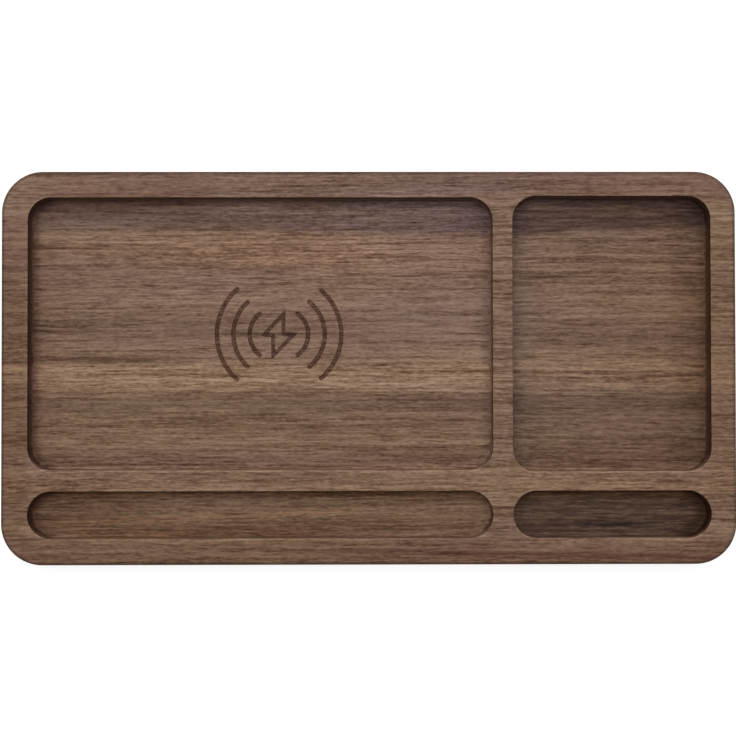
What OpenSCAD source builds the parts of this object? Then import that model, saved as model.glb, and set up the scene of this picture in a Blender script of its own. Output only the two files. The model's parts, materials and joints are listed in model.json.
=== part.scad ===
// Wooden desk organizer tray with a wireless charger under the floor of its largest pocket.
// Millimetres. Z is up and z = 0 is the surface that the feet stand on. X runs along the tray
// and Y towards its rear edge, with the origin under the middle of the tray.

/* [Tray] */
// Length of the wooden tray, left to right
tray_w = 320; // [300:1:360]
// Width of the wooden tray, front to rear
tray_d = 171.3; // [168:0.1:200]
// Radius of the four outer corners, seen from above
tray_corner_r = 18; // [10:0.5:30]
// Radius of the rounded top and bottom edges
edge_r = 1.2; // [0.6:0.1:1.6]

/* [Pockets] */
// Rim at the left end
rim_left = 11.5; // [8:0.1:16]
// Rim at the right end
rim_right = 11; // [8:0.1:16]
// Rim along the rear edge
rim_rear = 11.4; // [10:0.1:14]
// Rim along the front edge
rim_front = 11.5; // [8:0.1:14]
// Wall between the main pocket and the side pocket
upright_divider = 8.8; // [6:0.1:14]
// Wall between the pockets and the two slots in front of them
cross_divider = 9.1; // [6:0.1:12]
// Length of the main pocket and of the pen slot in front of it
main_w = 202.3; // [180:0.1:215]
// Width of the two front slots, whose ends are half circles
slot_d = 20.5; // [16:0.1:26]
// How much further the side pocket reaches, front and rear, than the main one
side_extra = 0.6; // [0:0.1:1.5]
// How much shorter the small slot is at each end than the side pocket
small_slot_inset = 0.1; // [0:0.1:3]
// Depth of every pocket and slot
pocket_depth = 10; // [7:0.1:16]
// Corner radius of the two large pockets
pocket_corner_r = 10; // [6:0.5:16]
// Radius between a pocket's floor and its wall
pocket_floor_r = 1.5; // [0.5:0.1:3]
// Radius that eases a pocket's upper edge
pocket_ease_r = 0.3; // [0.2:0.1:1]

/* [Charger bay] */
// Wood left between the charging coil and the floor of the main pocket
charge_floor_t = 3; // [2:0.1:4]
// How far the charging spot is to the right of the main pocket's middle
coil_offset_x = 7.8; // [-40:0.1:40]
// Wood between the bay and the rear edge
rear_wall = 6; // [5.5:0.1:7]
// Gap between the circuit board and the side walls of its bay
board_side_gap = 2.5; // [1:0.1:3]
// Corner radius that the cutter leaves in the bay
bay_corner_r = 5; // [3:0.5:8]
// Ledge that the base cover lies on behind the bay
cover_ledge = 3; // [2.5:0.1:3.4]
// Width of the base cover's recess
cover_w = 74; // [72:0.5:84]
// Corner radius of the base cover's recess
cover_corner_r = 8; // [5:0.5:12]
// Thickness of the base cover
cover_t = 2; // [1.6:0.1:3]
// Thickness of the foam pad that presses the coil up
least_foam_t = 1.2; // [1:0.1:1.5]

/* [Feet] */
// Radius of a foot
foot_r = 7; // [5:0.5:9]
// How far the feet stand out below the wood
foot_proud = 2; // [1.5:0.1:4]
// How deep a foot sits in the wood
foot_sunk = 1; // [0.6:0.1:1.5]
// Distance from the tray's ends to the feet's middles
foot_inset = 24; // [16:0.5:32]

/* [Cover screws] */
// Radius of a screw's shank
screw_r = 1.4; // [1.2:0.1:1.6]
// Radius of a screw's countersunk head
screw_head_r = 2.8; // [2.6:0.1:3]
// Length of a screw with its head
screw_len = 6.5; // [5.5:0.1:7]
// Distance from the cover's edge to a screw's middle
screw_inset = 5.5; // [5:0.1:6]

/* [Charging coil] */
// Diameter of the stranded wire
wire_d = 1; // [0.9:0.01:1.02]
// Distance between neighbouring turns
coil_pitch = 1.45; // [1.44:0.01:1.52]
// Radius of the innermost turn's middle line
coil_start_r = 10.75; // [10.5:0.05:11.5]
// Number of turns
coil_turns = 9; // [6:1:9]

/* [Circuit board] */
// Width of the circuit board
board_w = 43; // [41:0.5:50]
// Thickness of the circuit board
board_t = 1; // [0.8:0.1:1.2]
// Height of the bosses that the board stands on
boss_h = 1; // [0.8:0.1:1.2]

/* [Supply socket] */
// Outer width of the socket's metal shell
shell_w = 8.94; // [8.8:0.02:9.1]
// Outer height of the socket's metal shell
shell_h = 3.16; // [3.1:0.02:3.2]
// Length of the socket's metal shell
shell_len = 10.5; // [10:0.1:11]
// Thickness of the sleeve between the shell and the wood
sleeve_t = 1.1; // [0.8:0.05:1.2]

/* [Hidden] */
$fn = 64;

// Overrun of every cut past the surface it opens
cut = 1;
// Gap between pieces that slip together
slip = 0.2;
// Gap that keeps a loosely held piece off its neighbour
rest_gap = 0.1;
// Slope at which the eased pocket edge runs out into the top face, in degrees from the wall
ease_deg = 72;

// Room for the charger between the base cover and the roof of its bay. The coil lies on its ferrite in
// the carrier, with the foam below it and the tape above, and the socket stands behind the board.
tape_t = 0.2;
ferrite_t = 1.2;
carrier_t = 1.2;
coil_stack_h = least_foam_t + carrier_t + ferrite_t + wire_d + tape_t + 2 * rest_gap;
socket_stack_h = sleeve_t + shell_h + 2 * slip + rest_gap;
charger_h = max(coil_stack_h, socket_stack_h);

// Thickness of the wood
tray_h = pocket_depth + charge_floor_t + charger_h + cover_t;

// Levels from the bottom up
under_z = foot_proud;
top_z = under_z + tray_h;
floor_z = top_z - pocket_depth;
roof_z = floor_z - charge_floor_t;
lid_z = under_z + cover_t;

// Pocket layout
front_y = -tray_d / 2;
rear_y = tray_d / 2;
main_d = tray_d - rim_rear - rim_front - slot_d - cross_divider;
side_w = tray_w - rim_left - rim_right - main_w - upright_divider;
main_x = -tray_w / 2 + rim_left + main_w / 2;
side_x = tray_w / 2 - rim_right - side_w / 2;
pocket_y = rear_y - rim_rear - main_d / 2;
slot_y = front_y + rim_front + slot_d / 2;

// The charging spot, which the bay, the coil and the board are laid out from
spot_x = main_x + coil_offset_x;
spot_y = pocket_y;

// Coil and what holds it, from the roof of the bay down
coil_z = roof_z - tape_t - rest_gap - wire_d / 2;
ferrite_z = coil_z - wire_d / 2 - rest_gap - ferrite_t;
carrier_z = ferrite_z - carrier_t;
foam_t = carrier_z - lid_z;
foam_setback = 5.4;
lead_z = lid_z + boss_h + board_t + rest_gap + wire_d / 2;
groove_z = lead_z - wire_d / 2 - rest_gap;

// The spiral starts on the left, inside, and ends at this angle, outside
coil_end_deg = 55;
coil_start_deg = 180;
coil_sweep = 360 * coil_turns - (coil_start_deg - coil_end_deg);
coil_end_r = coil_start_r + coil_pitch * coil_sweep / 360;
rings_per_turn = 24;
wire_sides = 6;
entry_bend_r = 3.5;
lead_bend_r = 3;
exit_bend_r = 4;
inner_lead_x = -2;
inner_eye_r = 9;
ferrite_margin = 3.2;
ferrite_r = coil_end_r + ferrite_margin;
carrier_rim_t = 1.6;
carrier_r = ferrite_r + slip + carrier_rim_t;
bay_r = carrier_r + slip;
foam_r = carrier_r - foam_setback;
outer_lead_x = coil_end_r * cos(coil_end_deg) + exit_bend_r * cos(coil_end_deg) - exit_bend_r;
outer_lead_y = (coil_end_r + exit_bend_r) * sin(coil_end_deg);
lead_pad_len = 5;

// Thermistor in the coil's eye, with two wires beside the inner lead
bead_r = 1.2;
bead_h = 1.1;
bead_x = 1.2;
sensor_wire_r = 0.25;
sensor_pitch = 1.2;

// Lead slot shared by the ferrite and the carrier's gate
slot_side = 0.5;
lead_slot_x0 = inner_lead_x - wire_d / 2 - slot_side;
lead_slot_x1 = bead_x + sensor_pitch / 2 + sensor_wire_r + slot_side;
gate_x1 = outer_lead_x + wire_d / 2 + slot_side;

// Board bay, base cover and board, front to rear
board_bay_w = board_w + 2 * board_side_gap;
bay_rear_y = rear_y - rear_wall;
cover_rear_y = bay_rear_y + cover_ledge;
cover_margin = 6.4;
cover_front_y = spot_y - bay_r - cover_margin;
cover_d = cover_rear_y - cover_front_y;
cover_mid_y = (cover_rear_y + cover_front_y) / 2;
board_z = lid_z + boss_h;
board_top_z = board_z + board_t;
board_front_gap = 1.6;
board_front_y = spot_y + bay_r + board_front_gap;
flange_t = 1.2;
board_rear_y = bay_rear_y - flange_t - slip;
board_d = board_rear_y - board_front_y;
board_corner_r = 1;

// Board screws and the bosses they go into
board_screw_r = 0.9;
board_screw_head_r = 1.8;
board_screw_head_h = 1.1;
board_screw_grip = 2.1;
board_screw_inset = 3;
boss_r = 2.3;
boss_skin = 0.5;

// Socket, whose sleeve passes just over the base cover
port_z = lid_z + rest_gap + sleeve_t + slip + shell_h / 2;
port_lift = port_z - board_top_z;
port_recess = 0.4;
shell_t = 0.3;
shell_front_y = rear_y - port_recess;
shell_rear_y = shell_front_y - shell_len;
shell_tab_w = 1;
shell_tab_len = 1.4;
tongue_t = 0.6;
tongue_setback = 1;
tongue_len = shell_len - shell_t - tongue_setback;
insulator_gap = 0.05;
insulator_len = 4.2;
contact_count = 12;
contact_pitch = 0.5;
contact_w = 0.28;
contact_t = 0.08;
contact_side_gap = 0.46;
contact_tip_gap = 1.4;
contact_len = tongue_len - insulator_len - contact_tip_gap;
tongue_w = (contact_count - 1) * contact_pitch + contact_w + 2 * contact_side_gap;
sleeve_flange_w = 16;

// Parts on the board
chip_size = 5;
chip_t = 0.9;
chip_dot_r = 0.4;
chip_dot_depth = 0.1;
transistor_size = 3.3;
transistor_t = 0.85;
transistor_pitch = 6;
capacitor_w = 2.5;
capacitor_len = 3.2;
capacitor_h = 1.8;
capacitor_pitch = 4.2;
capacitor_cap_len = 0.6;
capacitor_cap_t = 0.06;
inductor_size = 5.2;
inductor_h = 2.4;
inductor_corner = 0.9;
inductor_core_r = 2.1;
inductor_core_rise = 0.15;
chip_x_share = -0.27;
inductor_x_share = 0.29;
socket_part_gap = 0.8;
rear_part_gap = 1.6;

// Three rows of parts behind the wire pads share what is left of the board's depth
row_gap = (board_d - lead_pad_len - 2 * capacitor_len - inductor_size - rear_part_gap) / 3;
capacitor_row_y = lead_pad_len + row_gap + capacitor_len / 2;
middle_row_y = capacitor_row_y + capacitor_len / 2 + row_gap + inductor_size / 2;
input_row_y = board_d - rear_part_gap - capacitor_len / 2;
input_x = shell_w / 2 + shell_tab_w + socket_part_gap + capacitor_w / 2;

// Mid points of what repeats
feet_x = tray_w / 2 - foot_inset;
feet_y = tray_d / 2 - foot_inset;
foot_edge_r = 0.8;
foot_cup_r = 4;
foot_cup_depth = 0.4;
screw_x = cover_w / 2 - screw_inset;
screw_ys = [cover_front_y + screw_inset, cover_mid_y, cover_rear_y - screw_inset];
screw_places = [for (sx = [-1, 1], y = screw_ys) [spot_x + sx * screw_x, y]];
board_screw_x = board_w / 2 - board_screw_inset;
board_screw_ys = [board_front_y + board_screw_inset, board_rear_y - board_screw_inset];
board_screw_places = [for (sx = [-1, 1], y = board_screw_ys) [spot_x + sx * board_screw_x, y]];
screw_tip_len = 1.6;
recess_w = 0.7;
recess_depth = 1;

// A profile, whose x runs outward from the corner's axis, carried round a rounded rectangle
module carried_round(w, d, r) {
    for (sx = [-1, 1], sy = [-1, 1])
        translate([sx * (w / 2 - r), sy * (d / 2 - r), 0])
            rotate(sx > 0 ? (sy > 0 ? 0 : 270) : (sy > 0 ? 90 : 180))
                rotate_extrude(angle = 90) children();
    for (turn = [0, 180])
        rotate(turn) {
            if (d > 2 * r)
                translate([w / 2 - r, d / 2 - r, 0])
                    rotate([90, 0, 0]) linear_extrude(d - 2 * r) children();
            if (w > 2 * r)
                translate([r - w / 2, d / 2 - r, 0])
                    rotate([90, 0, 90]) linear_extrude(w - 2 * r) children();
        }
}

// The block inside a carried profile
module middle_block(w, d, r, low, high) {
    if (w > 2 * r && d > 2 * r)
        translate([r - w / 2, r - d / 2, low]) cube([w - 2 * r, d - 2 * r, high - low]);
}

// A plain block with round upright corners
module rounded_block(w, d, r, h) {
    carried_round(w, d, r) square([r, h]);
    middle_block(w, d, r, 0, h);
}

// A bar along Y with half-round sides, its front end at y = 0
module flat_bar(w, h, len) {
    rotate([-90, 0, 0]) rounded_block(w, h, h / 2, len);
}

// The outline of the tray's edge, with both corners rounded
module edge_profile() {
    difference() {
        square([tray_corner_r, tray_h]);
        for (level = [0, 1])
            translate([tray_corner_r, level * tray_h])
                difference() {
                    square(2 * edge_r, center = true);
                    translate([-edge_r, (1 - 2 * level) * edge_r]) circle(edge_r);
                }
    }
}

// What a pocket's cutter takes away beside its wall: a rounded foot and an eased lip
module pocket_profile(r) {
    ease_h = pocket_ease_r * sin(ease_deg);
    difference() {
        union() {
            translate([0, -pocket_depth]) square([r, pocket_depth + cut]);
            difference() {
                translate([r, -ease_h]) square([pocket_ease_r * (1 - cos(ease_deg)), ease_h + cut]);
                translate([r + pocket_ease_r, -ease_h]) circle(pocket_ease_r);
            }
        }
        translate([r, -pocket_depth])
            difference() {
                square(2 * pocket_floor_r, center = true);
                translate([-pocket_floor_r, pocket_floor_r]) circle(pocket_floor_r);
            }
    }
}

module pocket(w, d, r) {
    carried_round(w, d, r) pocket_profile(r);
    middle_block(w, d, r, -pocket_depth, cut);
}

module tray_body() {
    color("#7a5d4b") difference() {
        translate([0, 0, under_z]) {
            carried_round(tray_w, tray_d, tray_corner_r) edge_profile();
            middle_block(tray_w, tray_d, tray_corner_r, 0, tray_h);
        }
        translate([main_x, pocket_y, top_z]) pocket(main_w, main_d, pocket_corner_r);
        translate([side_x, pocket_y, top_z]) pocket(side_w, main_d + 2 * side_extra, pocket_corner_r);
        translate([main_x, slot_y, top_z]) pocket(main_w, slot_d, slot_d / 2);
        translate([side_x, slot_y, top_z]) pocket(side_w - 2 * small_slot_inset, slot_d, slot_d / 2);
        charger_bay();
        translate([spot_x, bay_rear_y - cut, port_z])
            flat_bar(shell_w + 2 * (2 * slip + sleeve_t), shell_h + 2 * (2 * slip + sleeve_t),
                rear_wall + 2 * cut);
        for (sx = [-1, 1], sy = [-1, 1])
            translate([sx * feet_x, sy * feet_y, under_z - cut]) cylinder(cut + foot_sunk, r = foot_r + slip);
    }
}

// Everything that is cut from below for the charger
module charger_bay() {
    translate([spot_x, spot_y, under_z - cut]) cylinder(roof_z - under_z + cut, r = bay_r);
    translate([spot_x, (spot_y + bay_rear_y) / 2, under_z - cut])
        rounded_block(board_bay_w, bay_rear_y - spot_y, bay_corner_r, roof_z - under_z + cut);
    translate([spot_x, cover_mid_y, under_z - cut])
        rounded_block(cover_w, cover_d, cover_corner_r, cover_t + cut);
    for (place = screw_places)
        translate([place.x, place.y, under_z]) cylinder(screw_len + rest_gap, r = screw_r + rest_gap);
}

module base_cover() {
    plate_r = cover_corner_r - slip;
    locating_rib_t = 1.2;
    locating_rib_h = 0.8;
    color("#26272a") difference() {
        union() {
            translate([spot_x, cover_mid_y, under_z])
                rounded_block(cover_w - 2 * slip, cover_d - 2 * slip, plate_r, cover_t);
            for (place = board_screw_places)
                translate([place.x, place.y, lid_z]) cylinder(boss_h, r = boss_r);
            translate([spot_x, spot_y, lid_z])
                difference() {
                    cylinder(locating_rib_h, r = foam_r + slip + locating_rib_t);
                    translate([0, 0, -cut]) cylinder(locating_rib_h + 2 * cut, r = foam_r + slip);
                }
        }
        for (place = screw_places)
            translate([place.x, place.y, under_z]) {
                translate([0, 0, -cut]) cylinder(cover_t + 2 * cut, r = screw_r + slip);
                translate([0, 0, -rest_gap])
                    cylinder(screw_head_h() + 2 * rest_gap, r1 = screw_head_r + rest_gap * 2,
                        r2 = screw_r + rest_gap);
            }
        for (place = board_screw_places)
            translate([place.x, place.y, under_z + boss_skin])
                cylinder(cover_t + boss_h, r = board_screw_r + rest_gap);
    }
}

// A 90 degree head is as high as it is wider than its shank
function screw_head_h() = screw_head_r - screw_r;

// A cross-shaped driver recess cut down from the origin
module cross_recess(reach, depth) {
    for (turn = [0, 90])
        rotate(turn) translate([-reach, -recess_w / 2, -depth]) cube([2 * reach, recess_w, depth + cut]);
}

module cover_screws() {
    color("#3c3d40")
        for (place = screw_places)
            translate([place.x, place.y, under_z + rest_gap / 2])
                difference() {
                    union() {
                        cylinder(screw_head_h(), r1 = screw_head_r, r2 = screw_r);
                        cylinder(screw_len - screw_tip_len - rest_gap, r = screw_r);
                        translate([0, 0, screw_len - screw_tip_len - rest_gap])
                            cylinder(screw_tip_len, r1 = screw_r, r2 = recess_w / 2);
                    }
                    rotate([180, 0, 0]) cross_recess(screw_head_r - recess_w, recess_depth);
                }
}

// One foot: a puck with a rounded lower edge and a shallow cup in its sole
module foot(sx, sy) {
    h = foot_proud + foot_sunk;
    color("#1e1e20")
        translate([sx * feet_x, sy * feet_y, 0])
            rotate_extrude()
                difference() {
                    square([foot_r, h]);
                    translate([foot_r, 0])
                        difference() {
                            square(2 * foot_edge_r, center = true);
                            translate([-foot_edge_r, foot_edge_r]) circle(foot_edge_r);
                        }
                    polygon([[0, -cut], [foot_cup_r, -cut], [foot_cup_r, 0],
                        [foot_cup_r - foot_cup_depth, foot_cup_depth], [0, foot_cup_depth]]);
                }
}

module foot_front_left() foot(-1, -1);
module foot_front_right() foot(1, -1);
module foot_rear_left() foot(-1, 1);
module foot_rear_right() foot(1, 1);

// The sleeve fills the hole in the rear wall, and its flange sits inside the bay
module port_sleeve() {
    w = shell_w + 2 * slip;
    h = shell_h + 2 * slip;
    flange_h = roof_z - lid_z - 2 * rest_gap;
    color("#1c1d1f") difference() {
        union() {
            translate([spot_x, bay_rear_y, port_z]) flat_bar(w + 2 * sleeve_t, h + 2 * sleeve_t, rear_wall);
            translate([spot_x - sleeve_flange_w / 2, bay_rear_y - flange_t, lid_z + rest_gap])
                cube([sleeve_flange_w, flange_t, flange_h]);
        }
        translate([spot_x, bay_rear_y - flange_t - cut, port_z])
            flat_bar(w, h, flange_t + rear_wall + 2 * cut);
    }
}

module foam_pad() {
    color("#4a4c50") translate([spot_x, spot_y, lid_z])
        difference() {
            cylinder(foam_t, r = foam_r);
            translate([0, 0, -cut]) cylinder(foam_t + 2 * cut, r = inner_eye_r);
        }
}

// A dish that carries the ferrite, with a gate in its rim for the wires
module coil_carrier() {
    rim_top = roof_z - slip;
    color("#d9d9d4") translate([spot_x, spot_y, 0])
        difference() {
            translate([0, 0, carrier_z]) cylinder(rim_top - carrier_z, r = carrier_r);
            translate([0, 0, ferrite_z]) cylinder(rim_top - ferrite_z + cut, r = ferrite_r + slip);
            translate([lead_slot_x0, entry_bend_r, groove_z])
                cube([gate_x1 - lead_slot_x0, carrier_r, rim_top - groove_z + cut]);
        }
}

module ferrite_shield() {
    color("#34363a") translate([spot_x, spot_y, ferrite_z])
        difference() {
            cylinder(ferrite_t, r = ferrite_r);
            translate([0, 0, -cut]) cylinder(ferrite_t + 2 * cut, r = inner_eye_r);
            translate([lead_slot_x0, 0, -cut])
                cube([lead_slot_x1 - lead_slot_x0, ferrite_r + cut, ferrite_t + 2 * cut]);
        }
}

// Points of a level arc, without the first one
function arc_points(centre, r, from_deg, to_deg, steps, z0, z1) =
    [for (i = [1:steps]) let (a = from_deg + (to_deg - from_deg) * i / steps)
        [centre.x + r * cos(a), centre.y + r * sin(a), z0 + (z1 - z0) * i / steps]];

function spiral_point(i) =
    let (a = i * 360 / rings_per_turn, r = coil_start_r + coil_pitch * a / 360)
        [r * cos(coil_start_deg + a), r * sin(coil_start_deg + a), coil_z];

// The wire's middle line: in from the board under the turns, round the spiral and back out
function coil_path() =
    let (
        board_end_y = board_front_y - spot_y + lead_pad_len,
        drop_z = (coil_z + lead_z) / 2,
        entry_y = entry_bend_r + lead_bend_r,
        steps = 4,
        rings = floor(coil_sweep * rings_per_turn / 360),
        ease_y = ferrite_r + wire_d
    )
    concat(
        [[inner_lead_x, board_end_y, lead_z], [inner_lead_x, (board_end_y + entry_y) / 2, lead_z],
            [inner_lead_x, entry_y, lead_z]],
        arc_points([inner_lead_x - lead_bend_r, entry_y], lead_bend_r, 0, -90, steps, lead_z, drop_z),
        [[entry_bend_r - coil_start_r, entry_bend_r, coil_z]],
        arc_points([entry_bend_r - coil_start_r, 0], entry_bend_r, 90, 180, steps, coil_z, coil_z),
        [for (i = [1:rings]) spiral_point(i)],
        [[coil_end_r * cos(coil_end_deg), coil_end_r * sin(coil_end_deg), coil_z]],
        arc_points([outer_lead_x + exit_bend_r, outer_lead_y], exit_bend_r, 180 + coil_end_deg, 180, steps,
            coil_z, coil_z),
        [[outer_lead_x, ease_y - wire_d, coil_z], [outer_lead_x, board_front_y - spot_y, lead_z],
            [outer_lead_x, board_end_y, lead_z]]
    );

// A closed tube of the given radius along a list of points
module tube_along(points, r, sides) {
    last = len(points) - 1;
    rings = [for (i = [0:last])
        let (
            ahead = points[min(i + 1, last)] - points[max(i - 1, 0)],
            run = ahead / norm(ahead),
            side = cross(run, [0, 0, 1]) / norm(cross(run, [0, 0, 1])),
            up = cross(side, run)
        )
        for (k = [0:sides - 1]) points[i] + r * (cos(360 * k / sides) * side + sin(360 * k / sides) * up)];
    walls = [for (i = [0:last - 1], k = [0:sides - 1])
        let (a = i * sides + k, b = i * sides + (k + 1) % sides)
            each [[a, b, b + sides], [a, b + sides, a + sides]]];
    caps = [for (k = [1:sides - 2])
        each [[0, k + 1, k], [last * sides, last * sides + k, last * sides + k + 1]]];
    polyhedron(rings, concat(walls, caps), convexity = 10);
}

// Least free distance between stretches of the wire that are not neighbours along it
function least_gap(points, skip) =
    min([for (i = [0:len(points) - 1 - skip], j = [i + skip:len(points) - 1])
        let (gap = norm(points[i] - points[j])) if (gap > 0) gap]) - wire_d;

module charging_coil() {
    path = coil_path();
    apart = 8;
    echo(str("least gap between the coil's turns: ", least_gap(path, apart), " mm"));
    color("#b06a3a") translate([spot_x, spot_y, 0]) tube_along(path, wire_d / 2, wire_sides);
}

module coil_tape() {
    color("#d8cfa8") translate([spot_x, spot_y, roof_z - tape_t])
        difference() {
            cylinder(tape_t, r = coil_end_r + wire_d);
            translate([0, 0, -cut]) cylinder(tape_t + 2 * cut, r = coil_start_r - wire_d);
        }
}

module thermistor() {
    wire_z = ferrite_z + rest_gap / 2 + sensor_wire_r;
    wire_end_y = board_front_y - spot_y + lead_pad_len;
    color("#20242c") translate([spot_x + bead_x, spot_y, 0]) {
        translate([0, 0, ferrite_z]) cylinder(bead_h, r = bead_r);
        for (sx = [-1, 1])
            translate([sx * sensor_pitch / 2, 0, wire_z]) {
                rotate([-90, 0, 0]) cylinder(wire_end_y, r = sensor_wire_r);
                translate([-sensor_wire_r, wire_end_y - 2 * sensor_wire_r, board_top_z - wire_z])
                    cube([2 * sensor_wire_r, 2 * sensor_wire_r, wire_z - board_top_z]);
            }
    }
}

module charger_board() {
    notch_w = shell_w + 2 * slip;
    color("#1f4a35") difference() {
        translate([spot_x, (board_front_y + board_rear_y) / 2, board_z])
            rounded_block(board_w, board_d, board_corner_r, board_t);
        for (place = board_screw_places)
            translate([place.x, place.y, board_z - cut])
                cylinder(board_t + 2 * cut, r = board_screw_r + rest_gap);
        translate([spot_x - notch_w / 2, shell_rear_y - slip, board_z - cut])
            cube([notch_w, board_rear_y - shell_rear_y + cut, board_t + 2 * cut]);
    }
}

module board_screws() {
    color("#a9abad")
        for (place = board_screw_places)
            translate([place.x, place.y, board_top_z]) {
                difference() {
                    cylinder(board_screw_head_h, r1 = board_screw_head_r,
                        r2 = board_screw_head_r - recess_w / 2);
                    translate([0, 0, board_screw_head_h])
                        cross_recess(board_screw_head_r - recess_w, board_screw_head_h / 2);
                }
                translate([0, 0, -board_t - board_screw_grip])
                    cylinder(board_t + board_screw_grip, r = board_screw_r);
            }
}

module usb_c_shell() {
    inner_w = shell_w - 2 * shell_t;
    inner_h = shell_h - 2 * shell_t;
    tab_y = shell_rear_y + shell_t;
    round_r = shell_h / 2;
    tab_x = shell_w / 2 - round_r + sqrt(pow(round_r, 2) - pow(port_lift, 2)) - shell_t / 3;
    color("#b9bcc0") translate([spot_x, 0, 0]) {
        translate([0, 0, port_z]) difference() {
            translate([0, shell_rear_y, 0]) flat_bar(shell_w, shell_h, shell_len);
            translate([0, shell_rear_y + shell_t, 0]) flat_bar(inner_w, inner_h, shell_len);
        }
        for (side = [0, 1])
            mirror([side, 0, 0]) translate([tab_x, tab_y, board_top_z])
                cube([shell_w / 2 + shell_tab_w - tab_x, shell_tab_len, shell_t]);
    }
}

module usb_c_tongue() {
    w = shell_w - 2 * (shell_t + insulator_gap);
    h = shell_h - 2 * (shell_t + insulator_gap);
    base_y = shell_rear_y + shell_t;
    color("#17181a") translate([spot_x, base_y, port_z]) {
        flat_bar(w, h, insulator_len);
        flat_bar(tongue_w, tongue_t, tongue_len);
    }
}

module usb_c_contacts() {
    y = shell_rear_y + shell_t + insulator_len;
    first_x = spot_x - contact_pitch * (contact_count - 1) / 2;
    color("#d4af62")
        for (side = [-1, 1], i = [0:contact_count - 1])
            translate([first_x + i * contact_pitch - contact_w / 2, y,
                port_z + side * (tongue_t + contact_t) / 2 - contact_t / 2])
                cube([contact_w, contact_len, contact_t]);
}

// A place on the board, measured from the middle of its front edge
function on_board(x, y) = [spot_x + x, board_front_y + y, board_top_z];

module centred_block(w, d, h) {
    translate([-w / 2, -d / 2, 0]) cube([w, d, h]);
}

module controller_chip() {
    dot = chip_size / 2 - 2 * chip_dot_r;
    color("#1a1a1c") translate(on_board(chip_x_share * board_w, middle_row_y))
        difference() {
            centred_block(chip_size, chip_size, chip_t);
            translate([-dot, dot, chip_t - chip_dot_depth]) cylinder(chip_dot_depth + cut, r = chip_dot_r);
        }
}

module bridge_transistors() {
    color("#202022")
        for (sx = [-1, 1])
            translate(on_board((1 + sx) * transistor_pitch / 2, middle_row_y))
                centred_block(transistor_size, transistor_size, transistor_t);
}

// A ceramic block with a metal cap, slightly proud, on each end
module chip_capacitor() {
    t = capacitor_cap_t;
    centred_block(capacitor_w - 2 * t, capacitor_len, capacitor_h - t);
    for (sy = [-1, 1])
        translate([0, sy * (capacitor_len - capacitor_cap_len) / 2, 0])
            centred_block(capacitor_w, capacitor_cap_len, capacitor_h);
}

module resonant_capacitors() {
    color("#b08f63")
        for (i = [0:3])
            translate(on_board(i * capacitor_pitch + inner_lead_x, capacitor_row_y)) chip_capacitor();
}

module input_capacitors() {
    color("#b08f63")
        for (sx = [-1, 1])
            translate(on_board(sx * input_x, input_row_y)) chip_capacitor();
}

module power_inductor() {
    color("#3b3c3f") translate(on_board(inductor_x_share * board_w, middle_row_y)) {
        difference() {
            centred_block(inductor_size, inductor_size, inductor_h - inductor_core_rise);
            for (turn = [45:90:315])
                rotate(turn) translate([inductor_size / sqrt(2) - inductor_corner / 2, -inductor_size, -cut])
                    cube([inductor_size, 2 * inductor_size, inductor_h + 2 * cut]);
        }
        cylinder(inductor_h, r = inductor_core_r);
    }
}

tray_body();
base_cover();
cover_screws();
foot_front_left();
foot_front_right();
foot_rear_left();
foot_rear_right();
port_sleeve();
foam_pad();
coil_carrier();
ferrite_shield();
charging_coil();
coil_tape();
thermistor();
charger_board();
board_screws();
usb_c_shell();
usb_c_tongue();
usb_c_contacts();
controller_chip();
bridge_transistors();
resonant_capacitors();
input_capacitors();
power_inductor();
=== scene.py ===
# %% [markdown]
# # A walnut desk tray with a wireless charger in its floor
# A desk tray is one slab of solid wood. A router cuts two wide pockets and two long slots from above,
# and from below it cuts a bay for the charger, which a plastic cover closes. The imported model already
# has every piece in its place, so this lesson gives the wood its machined form, its burnt sign and its
# grain, and gives each of the other pieces a finish of its own.
#
# The imported model is loaded first, and the slab's sizes are read from its box.

import json
import math

import bmesh
import bpy
from mathutils import Matrix, Vector


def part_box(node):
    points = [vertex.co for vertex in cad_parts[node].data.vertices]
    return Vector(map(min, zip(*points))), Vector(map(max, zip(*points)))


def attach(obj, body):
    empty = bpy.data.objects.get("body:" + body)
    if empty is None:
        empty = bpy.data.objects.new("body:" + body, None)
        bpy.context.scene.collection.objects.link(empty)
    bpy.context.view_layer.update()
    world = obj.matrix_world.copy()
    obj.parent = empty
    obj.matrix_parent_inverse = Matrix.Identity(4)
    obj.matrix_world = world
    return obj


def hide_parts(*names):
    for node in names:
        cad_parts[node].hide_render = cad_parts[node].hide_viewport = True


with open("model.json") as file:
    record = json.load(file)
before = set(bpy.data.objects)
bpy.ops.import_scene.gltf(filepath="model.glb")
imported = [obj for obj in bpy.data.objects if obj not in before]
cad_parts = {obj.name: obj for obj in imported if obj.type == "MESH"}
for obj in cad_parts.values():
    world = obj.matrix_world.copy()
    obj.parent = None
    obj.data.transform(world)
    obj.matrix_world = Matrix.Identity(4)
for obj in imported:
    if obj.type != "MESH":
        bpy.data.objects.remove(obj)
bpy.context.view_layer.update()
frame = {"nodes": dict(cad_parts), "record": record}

# %% [markdown]
# ## The sizes that the wood is cut to
# The slab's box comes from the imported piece, and the charging spot from the record's mount, so both
# follow the model. The cutter's radii are written here in millimetres. All modelling is done in
# millimetres, because tiny edges in metres come close to the tolerance of the fill operators, and each
# piece is brought to metres when it is done. Two heights count as the same when they are nearer than
# NEAR, and two points that are nearer than MERGE become one.

# %% Sizes in millimetres
MM = 0.001
NEAR, MERGE = 1e-3, 1e-4
UP = Vector((0, 0, 1))

slab_low, slab_high = (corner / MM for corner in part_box("tray_body"))
slab_w, slab_d = slab_high.x - slab_low.x, slab_high.y - slab_low.y
TOP, UNDER = slab_high.z, slab_low.z

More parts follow.
